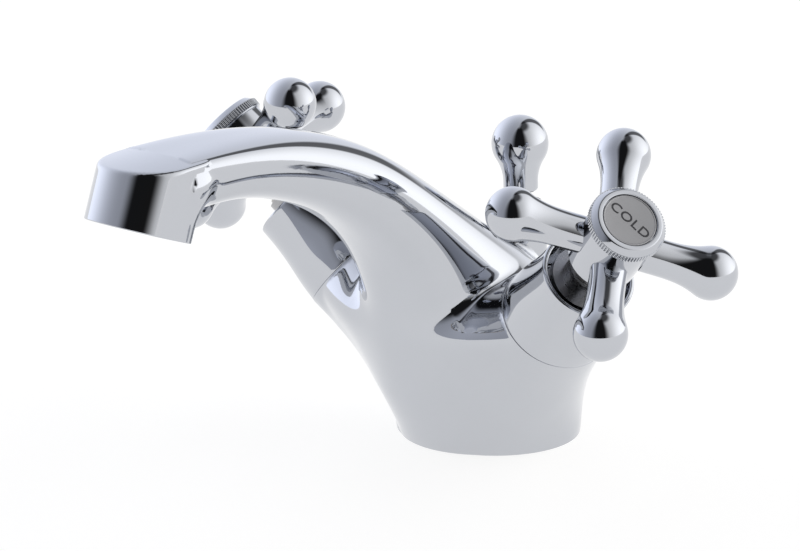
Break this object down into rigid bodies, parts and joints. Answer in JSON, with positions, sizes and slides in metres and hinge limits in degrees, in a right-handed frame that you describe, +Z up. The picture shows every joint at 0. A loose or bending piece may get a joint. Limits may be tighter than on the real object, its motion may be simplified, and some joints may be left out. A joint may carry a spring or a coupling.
{
  "type": "basin mixer tap",
  "caption": "Two-handle basin mixer with an arched spout, cross handles on angled valves and a pop-up waste lift rod, for a single deck hole.",
  "frame": {"origin": "centre of the round base, on the deck plane", "axes": "+Z up, -Y along the spout, +X to the cold valve"},
  "size_m": [0.1854, 0.1674, 0.1045],
  "materials": {
    "body_chrome": "polished chrome plate on a brass casting",
    "trim_chrome": "polished chrome plate on turned brass",
    "handle_chrome": "polished chrome plate on a zinc casting",
    "cap_chrome": "polished chrome plate with a fine knurl",
    "aerator_chrome": "chrome plate on brass",
    "headwork_brass": "machined brass, dull nickel plate above the thread",
    "spindle_brass": "machined brass",
    "index_satin": "satin metal disc",
    "disc_ceramic": "lapped alumina ceramic",
    "clip_steel": "stainless spring steel",
    "aerator_plastic": "moulded acetal",
    "bush_plastic": "moulded nylon",
    "base_rubber": "moulded rubber",
    "seal_rubber": "nitrile rubber"
  },
  "bodies": {
    "body": {"mixer_body": "body_chrome", "base_seal": "base_rubber", "aerator_housing": "aerator_chrome", "aerator_insert": "aerator_plastic", "aerator_washer": "seal_rubber", "rod_bush": "bush_plastic", "rod_seal": "seal_rubber", "cold_bell": "trim_chrome", "cold_headwork": "headwork_brass", "cold_bonnet_ring": "seal_rubber", "cold_seat_seal": "seal_rubber", "cold_fixed_disc": "disc_ceramic", "hot_bell": "trim_chrome", "hot_headwork": "headwork_brass", "hot_bonnet_ring": "seal_rubber", "hot_seat_seal": "seal_rubber", "hot_fixed_disc": "disc_ceramic"},
    "cold_valve": {"cold_moving_disc": "disc_ceramic", "cold_spindle": "spindle_brass", "cold_spindle_seals": "seal_rubber", "cold_circlip": "clip_steel", "cold_handle": "handle_chrome", "cold_handle_screw": "clip_steel", "cold_cap": "cap_chrome", "cold_index_disc": "index_satin"},
    "hot_valve": {"hot_moving_disc": "disc_ceramic", "hot_spindle": "spindle_brass", "hot_spindle_seals": "seal_rubber", "hot_circlip": "clip_steel", "hot_handle": "handle_chrome", "hot_handle_screw": "clip_steel", "hot_cap": "cap_chrome", "hot_index_disc": "index_satin"},
    "lift": {"lift_rod": "trim_chrome", "lift_knob": "trim_chrome"}
  },
  "joints": [
    {"name": "cold_turn", "type": "hinge", "parent": "body", "child": "cold_valve", "pos_m": [0, -0.0005, 0.006], "axis": [0.7015, -0.2284, 0.6751], "range_deg": [-90, 0]},
    {"name": "hot_turn", "type": "hinge", "parent": "body", "child": "hot_valve", "pos_m": [0, -0.0005, 0.006], "axis": [-0.7015, -0.2284, 0.6751], "range_deg": [0, 90]},
    {"name": "lift_slide", "type": "slide", "parent": "body", "child": "lift", "axis": [0, 0, 1], "range_m": [-0.003, 0.025]}
  ]
}
